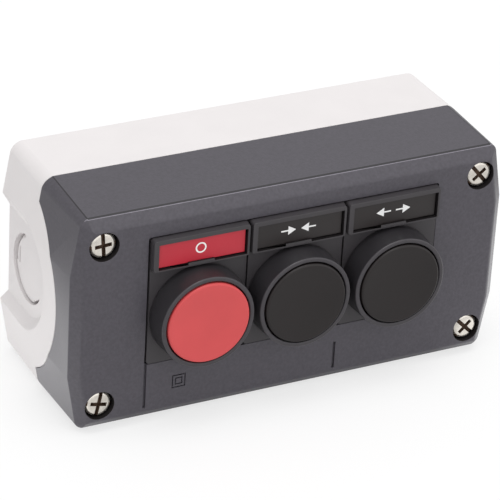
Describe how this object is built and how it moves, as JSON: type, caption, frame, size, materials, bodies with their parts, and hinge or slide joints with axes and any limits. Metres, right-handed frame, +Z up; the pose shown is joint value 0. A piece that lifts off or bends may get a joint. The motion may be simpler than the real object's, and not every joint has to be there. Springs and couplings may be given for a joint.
{
  "type": "pushbutton control station",
  "caption": "Surface-mounted control station: two-part plastic enclosure with a row of flush pushbuttons, legend holders and contact blocks inside.",
  "frame": {"origin": "centre of the wall face, on the back of the base", "axes": "+Y into the wall, buttons face -Y; +X along the length, to the right as the legends read; +Z up as the legends read"},
  "size_m": [0.136, 0.06, 0.068],
  "materials": {
    "base_grey": "fine moulded texture, light grey",
    "cover_grey": "fine moulded texture, dark grey",
    "bezel_black": "satin black",
    "holder_black": "satin black",
    "cap_red": "satin red",
    "cap_black": "satin black",
    "legend_red": "matt engraved laminate, red",
    "legend_black": "matt engraved laminate, black",
    "plunger_grey": "plain",
    "nut_grey": "plain",
    "foot_grey": "plain",
    "pusher_white": "plain",
    "block_red": "plain",
    "block_green": "plain",
    "seal_rubber": "matt",
    "screw_steel": "nickel plated",
    "spring_steel": "drawn wire",
    "contact_brass": "plain"
  },
  "bodies": {
    "enclosure": {"base": "base_grey", "cover": "cover_grey", "cover_gasket": "seal_rubber", "cover_screws": "screw_steel", "screw_washers": "seal_rubber", "bezel_stop": "bezel_black", "bezel_close": "bezel_black", "bezel_open": "bezel_black", "return_spring_stop": "spring_steel", "return_spring_close": "spring_steel", "return_spring_open": "spring_steel", "head_gasket_stop": "seal_rubber", "head_gasket_close": "seal_rubber", "head_gasket_open": "seal_rubber", "lock_nut_stop": "nut_grey", "lock_nut_close": "nut_grey", "lock_nut_open": "nut_grey", "legend_holder_stop": "holder_black", "legend_holder_close": "holder_black", "legend_holder_open": "holder_black", "legend_stop": "legend_red", "legend_close": "legend_black", "legend_open": "legend_black", "block_housing_stop": "block_red", "block_housing_close": "block_green", "block_housing_open": "block_green", "block_foot_stop": "foot_grey", "block_foot_close": "foot_grey", "block_foot_open": "foot_grey", "pusher_spring_stop": "spring_steel", "pusher_spring_close": "spring_steel", "pusher_spring_open": "spring_steel", "terminals_stop": "contact_brass", "terminals_close": "contact_brass", "terminals_open": "contact_brass", "clamp_plates_stop": "screw_steel", "clamp_plates_close": "screw_steel", "clamp_plates_open": "screw_steel", "terminal_screws_stop": "screw_steel", "terminal_screws_close": "screw_steel", "terminal_screws_open": "screw_steel"},
    "button_stop": {"cap_stop": "cap_red", "plunger_stop": "plunger_grey"},
    "slider_stop": {"pusher_stop": "pusher_white", "bridge_spring_stop": "spring_steel"},
    "contact_stop": {"bridge_stop": "contact_brass"},
    "button_close": {"cap_close": "cap_black", "plunger_close": "plunger_grey"},
    "slider_close": {"pusher_close": "pusher_white", "bridge_spring_close": "spring_steel"},
    "contact_close": {"bridge_close": "contact_brass"},
    "button_open": {"cap_open": "cap_black", "plunger_open": "plunger_grey"},
    "slider_open": {"pusher_open": "pusher_white", "bridge_spring_open": "spring_steel"},
    "contact_open": {"bridge_open": "contact_brass"}
  },
  "joints": [
    {"name": "press_stop", "type": "slide", "parent": "enclosure", "child": "button_stop", "axis": [0, 1, 0], "range_m": [0, 0.0043], "stiffness_N_per_m": 900, "springref_m": -0.002, "deforming": ["return_spring_stop"]},
    {"name": "slide_stop", "type": "slide", "parent": "enclosure", "child": "slider_stop", "axis": [0, 1, 0], "range_m": [0, 0.0043], "deforming": ["pusher_spring_stop"]},
    {"name": "contact_slide_stop", "type": "slide", "parent": "enclosure", "child": "contact_stop", "axis": [0, 1, 0], "range_m": [0, 0.00258], "deforming": ["bridge_spring_stop"]},
    {"name": "press_close", "type": "slide", "parent": "enclosure", "child": "button_close", "axis": [0, 1, 0], "range_m": [0, 0.0043], "stiffness_N_per_m": 900, "springref_m": -0.002, "deforming": ["return_spring_close"]},
    {"name": "slide_close", "type": "slide", "parent": "enclosure", "child": "slider_close", "axis": [0, 1, 0], "range_m": [0, 0.0043], "deforming": ["pusher_spring_close"]},
    {"name": "contact_slide_close", "type": "slide", "parent": "enclosure", "child": "contact_close", "axis": [0, 1, 0], "range_m": [0, 0.00258], "deforming": ["bridge_spring_close"]},
    {"name": "press_open", "type": "slide", "parent": "enclosure", "child": "button_open", "axis": [0, 1, 0], "range_m": [0, 0.0043], "stiffness_N_per_m": 900, "springref_m": -0.002, "deforming": ["return_spring_open"]},
    {"name": "slide_open", "type": "slide", "parent": "enclosure", "child": "slider_open", "axis": [0, 1, 0], "range_m": [0, 0.0043], "deforming": ["pusher_spring_open"]},
    {"name": "contact_slide_open", "type": "slide", "parent": "enclosure", "child": "contact_open", "axis": [0, 1, 0], "range_m": [0, 0.00258], "deforming": ["bridge_spring_open"]}
  ],
  "couplings": [
    {"joint": "slide_stop", "follows": "press_stop", "ratio": 1},
    {"joint": "contact_slide_stop", "follows": "press_stop", "ratio": 0.6},
    {"joint": "slide_close", "follows": "press_close", "ratio": 1},
    {"joint": "contact_slide_close", "follows": "press_close", "ratio": 0.6},
    {"joint": "slide_open", "follows": "press_open", "ratio": 1},
    {"joint": "contact_slide_open", "follows": "press_open", "ratio": 0.6}
  ]
}
